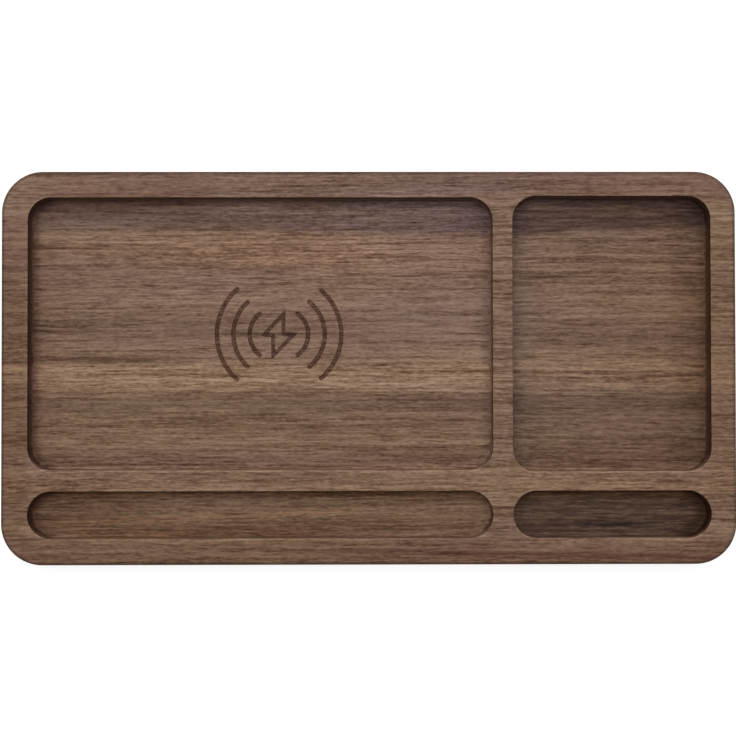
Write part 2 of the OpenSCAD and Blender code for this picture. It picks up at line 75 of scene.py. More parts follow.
mounts = {mount["name"]: mount for mount in frame["record"]["mounts"]}
spot = Vector(mounts["charging_floor"]["pos_m"]) / MM
FLOOR = spot.z

corner_r, edge_r = 18, 1.2
lip_r, floor_r = 0.3, 1.5
rear_pocket_y, front_slot_y = spot.y, -63.9
pockets = {
    "main": dict(x=-47.35, y=rear_pocket_y, w=202.3, d=118.8, r=10),
    "side": dict(x=105.8, y=rear_pocket_y, w=86.4, d=120, r=10),
    "pen slot": dict(x=-47.35, y=front_slot_y, w=202.3, d=20.5, r=10.25),
    "small slot": dict(x=105.8, y=front_slot_y, w=86.2, d=20.5, r=10.25),
}
print(f"slab {slab_w:.1f} by {slab_d:.1f} by {TOP - UNDER:.1f} mm, pockets {TOP - FLOOR:.1f} mm deep")

# %% [markdown]
# ## Mixing finishes out of nodes
# All finishes here are procedural, so nothing is painted or loaded. A few small helpers keep the node
# trees short: one adds a node and connects its inputs, some do sums with numbers and vectors, and one
# makes noise that is stretched by a different length along each axis, which is what wood, brushed metal
# and moulded plastic are all made of. Colours are written as they look on a screen and turned into
# linear light.


# %% Helpers for node trees
def paint(red, green, blue):
    """A colour as seen on a screen, 0 to 255, in the linear light that the shaders take."""
    linear = [c / 3294.6 if c <= 10.31 else ((c / 255 + 0.055) / 1.055) ** 2.4 for c in (red, green, blue)]
    return (*linear, 1)


def fill_inputs(tree, node, inputs):
    """Connects a node's inputs to sockets, and sets plain values on the inputs themselves."""
    for key, value in inputs.items():
        if isinstance(value, bpy.types.NodeSocket):
            tree.links.new(value, node.inputs[key])
        else:
            node.inputs[key].default_value = value


def add(tree, kind, inputs=None, **settings):
    """Adds a node, sets it up and fills its inputs."""
    node = tree.nodes.new(kind)
    for name, value in settings.items():
        setattr(node, name, value)
    fill_inputs(tree, node, inputs or {})
    return node


def calc(tree, operation, *values, clamp=False):
    inputs = dict(enumerate(values))
    return add(tree, "ShaderNodeMath", inputs, operation=operation, use_clamp=clamp).outputs[0]


def vector_calc(tree, operation, *values):
    inputs = dict(enumerate(values))
    return add(tree, "ShaderNodeVectorMath", inputs, operation=operation).outputs[0]


def length_of(tree, vector):
    return add(tree, "ShaderNodeVectorMath", {0: vector}, operation="LENGTH").outputs["Value"]


def split(tree, vector):
    """The three numbers of a vector."""
    return add(tree, "ShaderNodeSeparateXYZ", {0: vector}).outputs


def joined(tree, **numbers):
    """A vector made of the numbers that are given for X, Y and Z."""
    return add(tree, "ShaderNodeCombineXYZ", numbers).outputs[0]


def stretched_noise(tree, vector, reach, detail=2.0, roughness=0.5, seed=0.0):
    """Noise whose grains are about as long as reach says along each axis, in millimetres."""
    place = add(tree, "ShaderNodeMapping", {
        "Vector": vector, "Location": (seed, seed * 1.7, seed * 2.3), "Scale": tuple(1 / r for r in reach),
    })
    noise = add(tree, "ShaderNodeTexNoise", {
        "Vector": place.outputs[0], "Scale": 1.0, "Detail": detail, "Roughness": roughness,
    })
    return noise.outputs["Fac"]


def swing(tree, noise):
    """How far noise is above or below its middle."""
    return calc(tree, "SUBTRACT", noise, 0.5)


def between(tree, value, low, high, to_low=0.0, to_high=1.0):
    """Eases a value from one range to another and holds it there."""
    inputs = {"Value": value, "From Min": low, "From Max": high, "To Min": to_low, "To Max": to_high}
    return add(tree, "ShaderNodeMapRange", inputs, interpolation_type="SMOOTHSTEP").outputs["Result"]


def mix_colour(tree, how_much, first, second, mode="MIX"):
    inputs = {0: how_much, 6: first, 7: second}
    return add(tree, "ShaderNodeMix", inputs, data_type="RGBA", blend_type=mode).outputs[2]


def ramp(tree, value, stops):
    """A colour ramp with stops of (place, colour)."""
    node = add(tree, "ShaderNodeValToRGB", {"Fac": value})
    elements = node.color_ramp.elements
    elements[0].position, elements[0].color = stops[0]
    elements[1].position, elements[1].color = stops[-1]
    for place, colour in stops[1:-1]:
        elements.new(place).color = colour
    return node.outputs["Color"]


# %% [markdown]
# An effect that several finishes share is a node group with named sockets. It is built once, and each
# finish places it with values of its own. A finish reads the coordinates of its object, so a pattern
# keeps its place on the piece.


# %% Groups and finishes
def new_group(name, inputs, outputs):
    """A shader node group with named sockets, given as (name, kind, default)."""
    tree = bpy.data.node_groups.new(name, "ShaderNodeTree")
    for label, kind, default in inputs:
        socket = tree.interface.new_socket(label, in_out="INPUT", socket_type=kind)
        if default is not None:
            socket.default_value = default
    for label, kind in outputs:
        tree.interface.new_socket(label, in_out="OUTPUT", socket_type=kind)
    return tree, add(tree, "NodeGroupInput").outputs, add(tree, "NodeGroupOutput")


def use_group(tree, group, inputs):
    node = add(tree, "ShaderNodeGroup", node_tree=group)
    fill_inputs(tree, node, inputs)
    return node.outputs


def new_finish(name):
    """A material with a Principled shader, its tree, and the object's coordinates in millimetres."""
    finish = bpy.data.materials.new(name)
    finish.use_nodes = True
    tree = finish.node_tree
    tree.nodes.clear()
    shader = add(tree, "ShaderNodeBsdfPrincipled")
    output = add(tree, "ShaderNodeOutputMaterial")
    tree.links.new(shader.outputs[0], output.inputs["Surface"])
    here = add(tree, "ShaderNodeTexCoord").outputs["Object"]
    place = add(tree, "ShaderNodeVectorMath", {0: here, "Scale": 1 / MM}, operation="SCALE").outputs[0]
    return finish, tree, shader, place


def bump(tree, height, distance_mm, strength=1.0):
    inputs = {"Height": height, "Distance": distance_mm * MM, "Strength": strength}
    return add(tree, "ShaderNodeBump", inputs).outputs["Normal"]


# %% [markdown]
# ## Walnut
# Walnut is a solid, so its figure has to run through the slab: the same rings show as bands on top, as
# bands a little further on at the bottom of a pocket, and as arcs on the ends. The group below works in
# the slab's own millimetres. It bends the space a little, as a tree grows, measures how far a point is
# from the tree's heart to get the rings, and lays fibres and short dark pores along X. The heart lies far
# below the slab's rear part, so the rings show as broad bands at the rear and as narrower ones in front.

# %% The figure of walnut
HEART_Y, HEART_Z = 70.0, -95.0
SLOW_BEND, QUICK_BEND = 6.0, 1.1
DARK_WOOD = (0.5, 0.38, 0.32, 1)
walnut_figure, figure_in, figure_out = new_group(
    "Walnut figure",
    [("Place", "NodeSocketVector", None)],
    [("Colour", "NodeSocketColor"), ("Pores", "NodeSocketFloat"), ("Height", "NodeSocketFloat")],
)


def fill_walnut_figure(tree, place, output):
    slow = stretched_noise(tree, place, (260, 60, 60), 1, seed=3.1)
    quick = stretched_noise(tree, place, (38, 9, 9), 1, seed=7.7)
    sway = calc(tree, "MULTIPLY", swing(tree, slow), SLOW_BEND)
    sway = calc(tree, "ADD", sway, calc(tree, "MULTIPLY", swing(tree, quick), QUICK_BEND))
    shift = joined(tree, Y=sway, Z=calc(tree, "MULTIPLY", sway, 0.4))
    grown = vector_calc(tree, "ADD", place, shift)

    from_heart = vector_calc(tree, "SUBTRACT", grown, (0, HEART_Y, HEART_Z))
    radius = length_of(tree, vector_calc(tree, "MULTIPLY", from_heart, (0, 1, 1)))
    x, y, _ = split(tree, grown)
    ring_place = joined(tree, X=x, Y=radius, Z=y)
    rings = stretched_noise(tree, ring_place, (320, 5.5, 60), 3, 0.55, seed=1.3)
    hue = stretched_noise(tree, ring_place, (200, 9, 50), 2, 0.5, seed=11.9)

    # Long, middling and short streaks, each with how much it adds to the tone of the rings
    tone = calc(tree, "MULTIPLY_ADD", swing(tree, rings), 0.6, 0.5)
    layers = (
        (stretched_noise(tree, grown, (90, 1.5, 1.5), 2, 0.5, seed=2.2), 0.75),
        (stretched_noise(tree, grown, (12, 0.9, 0.9), 2, 0.6, seed=5.4), 0.90),
        (stretched_noise(tree, grown, (2.8, 0.85, 0.85), 2, 0.65, seed=8.3), 0.85),
    )
    for layer, strength in layers:
        tone = calc(tree, "MULTIPLY_ADD", swing(tree, layer), strength, tone)
    colour = ramp(tree, tone, [
        (0.0, paint(64, 39, 26)), (0.3, paint(103, 76, 58)), (0.5, paint(128, 102, 83)),
        (0.7, paint(147, 120, 100)), (1.0, paint(168, 143, 119)),
    ])
    warm = between(tree, hue, 0.35, 0.65)
    hues = mix_colour(tree, warm, (0.985, 0.965, 1.0, 1), (1.015, 1.0, 0.95, 1))
    colour = mix_colour(tree, 1.0, colour, hues, "MULTIPLY")

    fibres = stretched_noise(tree, grown, (18, 0.45, 0.45), 2, 0.6, seed=6.9)
    dashes = stretched_noise(tree, grown, (13, 0.9, 0.9), 2, 0.5, seed=9.1)
    fine_pores = stretched_noise(tree, grown, (4.5, 0.36, 0.36), 1, 0.5, seed=4.6)
    dash_mask = between(tree, dashes, 0.6, 0.74)
    pore_mask = between(tree, fine_pores, 0.6, 0.7)
    faint_pores = calc(tree, "MULTIPLY", pore_mask, 0.4)
    pores = calc(tree, "MAXIMUM", calc(tree, "MULTIPLY", dash_mask, 0.8), faint_pores)
    colour = mix_colour(tree, pores, colour, mix_colour(tree, 1.0, colour, DARK_WOOD, "MULTIPLY"))
    height = calc(tree, "SUBTRACT", calc(tree, "MULTIPLY", fibres, 0.35), pores)
    fill_inputs(tree, output, {"Colour": colour, "Pores": pores, "Height": height})


fill_walnut_figure(walnut_figure, figure_in["Place"], figure_out)
print("Walnut figure:", len(walnut_figure.nodes), "nodes")

# %% [markdown]
# A board also has places that no ring explains, such as a dark band where the heartwood changes. A
# second group gives a soft-edged mask round a chosen place. Noise that is stretched along X moves the
# place before it is measured, so a band's edge runs raggedly along the grain, as a real one's does. A
# wide band wanders by millimetres, and a thin streak by much less, or it would fall to pieces. Streaky
# noise varies the depth of a stain too, because a dark band would look painted if it were even.

# %% A soft stain that follows the grain
stain_group, stain_in, stain_out = new_group(
    "Wood stain",
    [("Place", "NodeSocketVector", None), ("Noise", "NodeSocketFloat", 0.5),
     ("Wander", "NodeSocketFloat", 1.0), ("Depth", "NodeSocketFloat", 1.0),
     ("Centre", "NodeSocketVector", None), ("Reach", "NodeSocketVector", None),
     ("Fade", "NodeSocketVector", None), ("Tilt", "NodeSocketFloat", 0.0)],
    [("Mask", "NodeSocketFloat")],
)


def fill_stain(tree, inputs, output):
    away = vector_calc(tree, "SUBTRACT", inputs["Place"], inputs["Centre"])
    x, y, z = split(tree, away)
    strayed = calc(tree, "MULTIPLY_ADD", swing(tree, inputs["Noise"]), inputs["Wander"], y)
    level = calc(tree, "SUBTRACT", strayed, calc(tree, "MULTIPLY", x, inputs["Tilt"]))
    tilted = joined(tree, X=x, Y=level, Z=z)
    spare = vector_calc(tree, "SUBTRACT", inputs["Reach"], vector_calc(tree, "ABSOLUTE", tilted))
    share = vector_calc(tree, "DIVIDE", spare, inputs["Fade"])
    share = vector_calc(tree, "MULTIPLY_ADD", share, (0.5, 0.5, 0.5), (0.5, 0.5, 0.5))
    share = vector_calc(tree, "MINIMUM", vector_calc(tree, "MAXIMUM", share, (0, 0, 0)), (1, 1, 1))
    x, y, z = split(tree, share)
    mask = calc(tree, "MULTIPLY", calc(tree, "MULTIPLY", x, y), z)
    fill_inputs(tree, output, {"Mask": calc(tree, "MULTIPLY", mask, inputs["Depth"])})


fill_stain(stain_group, stain_in, stain_out)
print("Wood stain:", len(stain_group.nodes), "nodes")

# %% [markdown]
# Some stains stand for a band or streak of the real board. The others are painted light and shade in
# the pockets: painted shade along walls and in corners, painted light on a wall, at the foot of a front
# wall and under the slots' rear lips, and a painted highlight on a lip. The bands along the rear walls
# are partly darker wood and partly painted shade. Each multiplies the colour under it, so the grain
# runs on through it. Most stains lie on a floor or on the top face, two lie on a wall, halfway between
# the two levels, and one reaches from the floors to the top face.

# %% Where the stains lie
# Each stain: centre, reach, fade along x and y, tilt, and what it multiplies the colour by
LOW, HIGH, WALL = FLOOR, TOP, (FLOOR + TOP) / 2
STAINS = {
    # Partly darker wood, partly painted shade: the floor along the main pocket's rear wall
    "main, rear band": ((-48, 68, LOW), (104, 8, 5), (6, 1.6), -0.012, (0.76, 0.74, 0.86)),
    "main, rear band's right end": ((20, 68, LOW), (50, 8, 5), (60, 1.6), -0.012, (1.24, 1.31, 1.46)),
    # Painted shade in the corner between the main pocket's rear and right walls
    "main, painted shade in right rear corner": ((54, 71, LOW), (11, 10, 5), (9, 4.0), 0.0, (0.85, 0.86, 0.95)),
    "main, rear band's left end": ((-125, 72, LOW), (42, 4.5, 5), (24, 1.5), 0.0, (0.80, 0.72, 0.68)),
    # Painted shade on the floor beside the main pocket's left wall
    "main, painted shade by left wall": ((-150, 15, LOW), (12, 62, 5), (8, 4.0), 0.0, (0.89, 0.83, 0.82)),
    "main, right rear part": ((0, 40, LOW), (75, 27, 5), (30, 12), 0.0, (1.07, 1.06, 1.10)),
    "main, right rear shade": ((30, 43, LOW), (30, 30, 5), (30, 12), 0.0, (0.98, 0.99, 1.07)),
    "main, rear tan band": ((-35, 52.8, LOW), (86, 7.5, 5), (50, 2.5), -0.02, (1.48, 1.46, 1.36)),
    "main, rear streak": ((-130, 53.4, LOW), (15, 0.8, 5), (8, 0.6), 0.0, (0.66, 0.58, 0.52)),
    "middle shade, both pockets": ((0, 18, LOW), (175, 9, 5), (6, 3.0), 0.0, (0.91, 0.90, 0.89)),
    "main, left streak": ((-119, 4.0, LOW), (34, 1.0, 5), (14, 0.9), 0.006, (0.56, 0.48, 0.44)),
    "tan ring, both pockets": ((0, -3.8, WALL), (175, 6.0, 12), (10, 2.0), 0.0, (1.18, 1.18, 1.14)),
    "main, tan ring": ((-48, -3.8, LOW), (104, 5.8, 5), (4, 1.8), 0.0, (1.30, 1.36, 1.38)),
    "front ring, both pockets": ((0, -16.3, LOW), (175, 3.2, 5), (6, 1.8), 0.0, (0.82, 0.80, 0.80)),
    "front shade, both pockets": ((0, -42, LOW), (175, 7, 5), (6, 4.0), 0.0, (0.88, 0.84, 0.88)),
    # Partly darker wood, partly painted shade: the floor along the side pocket's rear wall
    "side, rear band": ((106, 68.9, LOW), (48, 7.4, 5), (3, 1.0), 0.05, (0.41, 0.35, 0.37)),
    # Painted shade in the corner between the side pocket's rear and right walls
    "side, painted shade in right rear corner": ((149, 72, LOW), (9, 9, 5), (7, 5.0), 0.0, (0.58, 0.54, 0.58)),
    "side, streak": ((79, 40.2, LOW), (12, 0.8, 5), (5, 0.6), 0.0, (0.55, 0.50, 0.50)),
    "side, middle": ((106, 14.5, LOW), (47, 7.0, 5), (3, 3.0), 0.0, (0.90, 0.88, 0.86)),
    "side, front": ((107, -29, LOW), (47, 18, 5), (3, 3.0), 0.0, (0.78, 0.75, 0.76)),
    # Painted light on the floor at the foot of the side pocket's front wall
    "side, painted light by front wall": ((107, -43, LOW), (47, 4, 5), (3, 3.0), 0.0, (1.16, 1.18, 1.14)),
    # Painted shade on the floor towards the side pocket's right wall: wide and faint, then deep by the wall
    "side, painted shade towards right wall": ((145, 15, LOW), (30, 70, 5), (26, 4.0), 0.0, (0.90, 0.86, 0.82)),
    "side, painted shade by right wall": ((150, 15, LOW), (10.5, 70, 5), (10, 4.0), 0.0, (0.58, 0.50, 0.44)),
    # Painted shade on the floor beside the side pocket's left wall
    "side, painted shade by left wall": ((62, 15, LOW), (8, 62, 5), (8, 4.0), 0.0, (0.82, 0.85, 0.90)),
    "small slot": ((106, -64, LOW), (48, 14, 5), (3, 2.0), 0.0, (0.305, 0.265, 0.26)),
    # Painted shade on the floor at the small slot's right end
    "small slot, painted shade by right end": ((151, -64, LOW), (11, 14, 5), (9, 3.0), 0.0, (0.66, 0.54, 0.46)),
    # Painted light under the slots' rear lips, which lifts their shade
    "small slot, painted light under rear lip": ((106, -53.5, LOW), (44, 3.4, 5), (4, 1.6), 0.0, (1.5, 1.25, 0.90)),
    "pen slot, painted light under rear lip": ((-48, -53.5, LOW), (102, 2.8, 5), (6, 1.6), 0.0, (1.16, 1.06, 0.86)),
    "small slot, streak": ((108, -68.9, LOW), (15, 1.2, 5), (8, 0.9), 0.0, (0.22, 0.18, 0.26)),
    "pen slot": ((-48, -64, LOW), (104, 14, 5), (6, 2.0), 0.0, (0.90, 0.84, 0.78)),
    # Painted shade on the floor at the pen slot's left end
    "pen slot, painted shade by left end": ((-135, -60, LOW), (26, 8, 5), (22, 4.0), 0.0, (0.76, 0.70, 0.68)),
    "pen slot, front": ((-70, -72, LOW), (55, 2.6, 5), (24, 1.6), 0.01, (0.80, 0.72, 0.66)),
    "pen slot, streak": ((-77, -65.9, LOW), (60, 1.2, 5), (20, 1.0), 0.035, (1.30, 1.27, 1.20)),
    # Painted light on the main pocket's right wall and its right front corner
    "main, painted light on right wall": ((53.8, 15, WALL), (1.2, 58, 3.5), (0.4, 4.0), 0.0, (1.7, 1.7, 1.75)),
    "main, painted light on right front corner's wall": ((50, -41, WALL), (8, 7, 3.5), (3, 3.0), 0.0, (1.5, 1.55, 1.6)),
    "cross divider": ((0, -49.4, HIGH), (175, 5, 4), (6, 1.0), 0.0, (1.21, 1.20, 1.18)),
    "upright divider": ((58.2, 15, HIGH), (3.8, 60, 4), (1.2, 4.0), 0.0, (1.06, 1.07, 1.11)),
    "rear rim": ((0, 80, HIGH), (170, 7, 4), (6, 1.0), 0.0, (0.94, 0.93, 0.98)),
    "rear rim, left": ((-107, 80, HIGH), (33, 7, 4), (14, 1.0), 0.0, (0.86, 0.79, 0.79)),
    "rear rim, streak": ((-107, 76, HIGH), (34, 1.1, 4), (14, 0.9), 0.0, (0.78, 0.72, 0.72)),
    "rear rim, pale": ((18, 77.5, HIGH), (32, 3, 4), (14, 2.0), 0.0, (1.14, 1.21, 1.34)),
    "rear rim, purple": ((53, 81, HIGH), (32, 4.5, 4), (16, 2.0), 0.0, (0.84, 0.80, 0.92)),
    "rear rim, red": ((119, 80, HIGH), (42, 6, 4), (14, 2.0), 0.0, (0.90, 0.82, 0.84)),
    "front rim": ((0, -80, HIGH), (170, 6, 4), (6, 1.0), 0.0, (0.85, 0.78, 0.70)),
    # Painted highlight on the small slot's front lip
    "front rim, painted highlight on small slot's lip": ((106, -75.4, HIGH), (38, 1.3, 4), (5, 0.8), 0.0, (1.32, 1.36, 1.42)),
    "front rim, right": ((95, -80, HIGH), (75, 6, 4), (40, 1.0), 0.0, (0.84, 0.80, 0.86)),
    "front rim, streak": ((78, -81.3, HIGH), (92, 1.1, 4), (30, 0.6), -0.018, (0.62, 0.47, 0.51)),
    "right rim": ((155, 0, HIGH), (6, 60, 4), (1.5, 5.0), 0.0, (0.94, 0.90, 0.84)),
    "left rim": ((-155, -15, HIGH), (6, 60, 4), (1.5, 5.0), 0.0, (0.84, 0.77, 0.71)),
    "left rim, pink": ((-155, 55, HIGH), (6, 12, 4), (1.5, 2.5), 0.0, (0.88, 0.80, 0.84)),
    "main, streak through the sign": ((-39, 15.1, LOW), (36, 0.5, 5), (8, 0.4), -0.006, (0.52, 0.43, 0.38)),
}
STREAK_REACH, STREAK_WANDER, BAND_WANDER, HEIGHT_FADE = 1.5, 0.8, 6.0, 1.5
print(len(STAINS), "stains")

# %% [markdown]
# Machined edges don't look like the faces beside them, and here light and shade are painted on them.
# The slab's rounded outer edge is a little darker, with painted shade. The pockets' walls get painted
# shade, darkest under the lip. The slots' rear walls get less of it, and the front walls only a little.
# The front lips get a painted highlight. At one end of the main pocket and of each slot, the end wall
# and the floor just before it get a deeper painted shade. All of these follow outlines, so a third
# group measures how far a point is from a rectangle with round corners.

# %% Distance from the outline
outline_group, outline_in, outline_out = new_group(
    "Distance from outline",
    [("Place", "NodeSocketVector", None), ("Half size", "NodeSocketVector", None),
     ("Corner radius", "NodeSocketFloat", 1.0)],
    [("Distance", "NodeSocketFloat")],
)


def fill_outline(tree, inputs, output):
    flat = vector_calc(tree, "MULTIPLY", vector_calc(tree, "ABSOLUTE", inputs["Place"]), (1, 1, 0))
    beyond = vector_calc(tree, "SUBTRACT", flat, inputs["Half size"])
    far = length_of(tree, vector_calc(tree, "MAXIMUM", beyond, (0, 0, 0)))
    x, y, _ = split(tree, beyond)
    near = calc(tree, "MINIMUM", calc(tree, "MAXIMUM", x, y), 0.0)
    distance = calc(tree, "SUBTRACT", calc(tree, "ADD", far, near), inputs["Corner radius"])
    fill_inputs(tree, output, {"Distance": distance})


fill_outline(outline_group, outline_in, outline_out)
print("Distance from outline:", len(outline_group.nodes), "nodes")

# %% [markdown]
# The masks are read from two things: how far a point is from an outline, and which way its face looks. A
# wall's normal lies level. A front wall's points to the rear and a rear wall's to the front, which tells
# them apart. Every mask fades in between two such values, because nothing in oiled wood ends in a line,
# and comes with its effect on the colour.

# %% Masks for the edge, the walls, their ends and their lips
# Painted shade on the slab's rounded outer edge, and a painted highlight on the pockets' front lips
EDGE_SHADE_EFFECT, LIP_HIGHLIGHT_EFFECT = (0.62, 0.59, 0.59), (1.25, 1.28, 1.30)
# Painted shade on the pockets' walls: deep on most of them, light on the front walls
WALL_SHADE_EFFECT, FRONT_WALL_EFFECT = (0.165, 0.105, 0.08), (0.78, 0.80, 0.82)

# Each end with a deeper painted shade: left (-1) or right (1), where the shade starts and is full, and its
# effect
SHADED_ENDS = {
    "main": (-1, -4.5, 0.0, (0.62, 0.56, 0.57)),
    "pen slot": (-1, -6.0, 0.0, (0.60, 0.50, 0.52)),
    "small slot": (1, -7.5, -3.0, (0.62, 0.48, 0.38)),
}

# Where a mask starts and where it is full, in millimetres outwards from an outline
EDGE_FADE, POCKETS_FADE, PAST_WALL_FADE = (-2.0, -0.6), (-4.0, -6.0), (0.6, 0.2)
LIP_INNER_FADE, LIP_OUTER_FADE = (-1.6, -0.4), (1.2, 0.4)
# The same in millimetres along Z, along Y, and from a pocket's front wall or from the turn at its end
EDGE_HEIGHT_FADE, BELOW_LIP_FADE = (TOP - 1.5 * edge_r, TOP - edge_r), (TOP - 0.4, TOP - 1.6)
SLOTS_FADE, FRONT_LIP_FADE, TURN_FADE = (-44, -48), (4, 1), (-3, 3)
# The same by how far a face looks up or to the rear, and how much of their painted shade the slots' rear
# walls lose
UPRIGHT_FADE, FRONT_WALL_FADE, REAR_WALL_FADE = (0.75, 0.3), (0.2, 0.9), (-0.5, -0.9)
SLOT_REAR_SHADE_CUT = 0.7


def edge_masks(tree, place):
    """Masks for the painted shade on the slab's edge, the pockets' walls and their ends, and for the
    painted highlight on their front lips, each with its effect. Distances are in millimetres and negative
    inside an outline."""

    def distance(x, y, w, d, r):
        here = vector_calc(tree, "SUBTRACT", place, (x, y, 0))
        inputs = {"Place": here, "Half size": (w / 2 - r, d / 2 - r, 0), "Corner radius": r}
        return use_group(tree, outline_group, inputs)["Distance"], here

    _, y, z = split(tree, place)
    high = between(tree, z, *EDGE_HEIGHT_FADE)
    rim = distance(0, 0, slab_w, slab_d, corner_r)[0]
    # Painted shade on the rounded outer edge
    yield calc(tree, "MULTIPLY", between(tree, rim, *EDGE_FADE), high), EDGE_SHADE_EFFECT

    facing = add(tree, "ShaderNodeTexCoord").outputs["Normal"]
    _, rearward, up = split(tree, facing)
    upright = between(tree, calc(tree, "ABSOLUTE", up), *UPRIGHT_FADE)
    wall = calc(tree, "MULTIPLY", upright, between(tree, rim, *POCKETS_FADE))
    # Painted shade on the walls, darkest under the lip, and less of it on the slots' rear walls
    shaded = calc(tree, "MULTIPLY", wall, between(tree, rearward, *reversed(FRONT_WALL_FADE)))
    slot_rear_walls = calc(tree, "MULTIPLY", between(tree, rearward, *REAR_WALL_FADE), between(tree, y, *SLOTS_FADE))
    shaded = calc(tree, "MULTIPLY", shaded, calc(tree, "MULTIPLY_ADD", slot_rear_walls, -SLOT_REAR_SHADE_CUT, 1.0))
    yield calc(tree, "MULTIPLY", shaded, between(tree, z, FLOOR, TOP)), WALL_SHADE_EFFECT
    yield calc(tree, "MULTIPLY", wall, between(tree, rearward, *FRONT_WALL_FADE)), FRONT_WALL_EFFECT

    for name, p in pockets.items():
        away, here = distance(**p)
        along, front, _ = split(tree, here)
        if name in SHADED_ENDS:
            side, start, full, effect = SHADED_ENDS[name]
            # The painted shade at the end follows the turn of the outline, stays below the lip and ends just
            # past the wall
            turn = p["w"] / 2 - p["r"]
            outwards = calc(tree, "MULTIPLY", along, side)
            at_end = between(tree, outwards, *(turn + step for step in TURN_FADE))
            shade_in = between(tree, away, start, full)
            inside = calc(tree, "MULTIPLY", shade_in, between(tree, away, *PAST_WALL_FADE))
            below = calc(tree, "MULTIPLY", at_end, between(tree, z, *BELOW_LIP_FADE))
            yield calc(tree, "MULTIPLY", inside, below), effect
        # Painted highlight along each pocket's front lip
        inner = between(tree, away, *LIP_INNER_FADE)
        near = calc(tree, "MULTIPLY", inner, between(tree, away, *LIP_OUTER_FADE))
        at_front = between(tree, front, *(step - p["d"] / 2 for step in FRONT_LIP_FADE))
        yield calc(tree, "MULTIPLY", near, at_front), LIP_HIGHLIGHT_EFFECT


# %% [markdown]
# ## Oiled and burnt walnut
# The tray is sanded and oiled: no gloss, but a low sheen that breaks up in the pores. The burnt sign is
# the same wood, darkened by a laser, so its finish reads the same figure and only browns it. A flat dark
# colour would hide the fibres, which still show through on the real thing.


# %% The two finishes of the wood
def tint(tree, mask, colour, effect):
    """Multiplies a colour by an effect where the mask says so."""
    return mix_colour(tree, mask, colour, mix_colour(tree, 1.0, colour, (*effect, 1), "MULTIPLY"))


def make_walnut(name, burn=None):
    finish, tree, shader, place = new_finish(name)
    colour, pores, height = use_group(tree, walnut_figure, {"Place": place})
    ragged = stretched_noise(tree, place, (38, 3.5, 12), 3, 0.6, seed=6.3)
    streaks = stretched_noise(tree, place, (13, 1.1, 1.1), 3, 0.6, seed=2.9)
    streaky = between(tree, streaks, 0.38, 0.62, 0.66, 1.10)
    for centre, reach, fade, tilt, effect in STAINS.values():
        mask = use_group(tree, stain_group, {
            "Place": place, "Noise": ragged, "Depth": streaky, "Centre": centre, "Reach": reach,
            "Fade": (*fade, HEIGHT_FADE), "Tilt": tilt,
            "Wander": STREAK_WANDER if reach[1] < STREAK_REACH else BAND_WANDER,
        })["Mask"]
        colour = tint(tree, mask, colour, effect)

    for mask, effect in edge_masks(tree, place):
        colour = tint(tree, mask, colour, effect)
    if burn:
        soot = stretched_noise(tree, place, (1.8, 0.6, 0.6), 3, 0.6, seed=8.8)
        depth = between(tree, soot, 0.38, 0.58, 0.62, 1.0)
        colour = tint(tree, depth, colour, burn)
    fill_inputs(tree, shader, {
        "Base Color": colour,
        "Roughness": between(tree, pores, 0.0, 1.0, 0.56, 0.85),
        "Specular IOR Level": 0.12,
        "Normal": bump(tree, height, 0.06, 0.6),
    })
    return finish


walnut = make_walnut("oiled_walnut")
burnt = make_walnut("burnt_walnut", burn=(0.225, 0.118, 0.068))
print("wood:", walnut.name, len(walnut.node_tree.nodes), "nodes")

# %% [markdown]
# ## Dragging a line along a path
# A router leaves one profile all the way round a pocket: an eased lip, a straight wall and a rounded
# foot. The same thing is done here with two operators. Extrude drags points and edges along a straight
# run, and spin turns them about an axis, so a point becomes a profile, and the profile becomes a wall.
# Booleans could cut the pockets too, but a dragged profile gives even rows of faces, which shade better.


# %% Drag points and edges along runs and turns
def drag(bm, geom, path):
    """Drags points and edges along a path, whose steps are a run (a vector) or a turn
    (centre, axis, degrees, steps). Returns all that was drawn, the start included."""
    drawn = list(geom)
    for move in path:
        if isinstance(move, Vector):
            if move.length < MERGE:
                continue
            edges = [g for g in geom if isinstance(g, bmesh.types.BMEdge)]
            if edges:
                made = bmesh.ops.extrude_edge_only(bm, edges=edges)["geom"]
            else:
                made = bmesh.ops.extrude_vert_indiv(bm, verts=geom)
                made = made["verts"] + made["edges"]
            points = [g for g in made if isinstance(g, bmesh.types.BMVert)]
            bmesh.ops.translate(bm, vec=move, verts=points)
            if edges:
                geom = [g for g in made if not isinstance(g, bmesh.types.BMFace)]
            else:
                geom = points
            drawn += made
        else:
            centre, axis, degrees, steps = move
            before = set(bm.edges) | set(bm.verts)
            geom = bmesh.ops.spin(
                bm, geom=geom, cent=centre, axis=axis, angle=math.radians(degrees), steps=steps,
                use_duplicate=False,
            )["geom_last"]
            drawn += [g for g in list(bm.verts) + list(bm.edges) if g not in before]
    return drawn


def round_path(w, d, r, centre, steps):
    """The path round a rectangle with round corners, from the middle of its right side."""

    def corner(sx, sy):
        return (centre + Vector((sx * (w / 2 - r), sy * (d / 2 - r), 0)), UP, 90, steps)

    along, across = Vector((w - 2 * r, 0, 0)), Vector((0, d - 2 * r, 0))
    return [
        across / 2, corner(1, 1), -along, corner(-1, 1), -across,
        corner(-1, -1), along, corner(1, -1), across / 2,
    ]


def carried_wall(bm, start, profile_path, path):
    """A wall with the profile that is drawn from start, carried round the path."""
    profile = drag(bm, [bm.verts.new(start)], profile_path)
    drag(bm, profile, path)


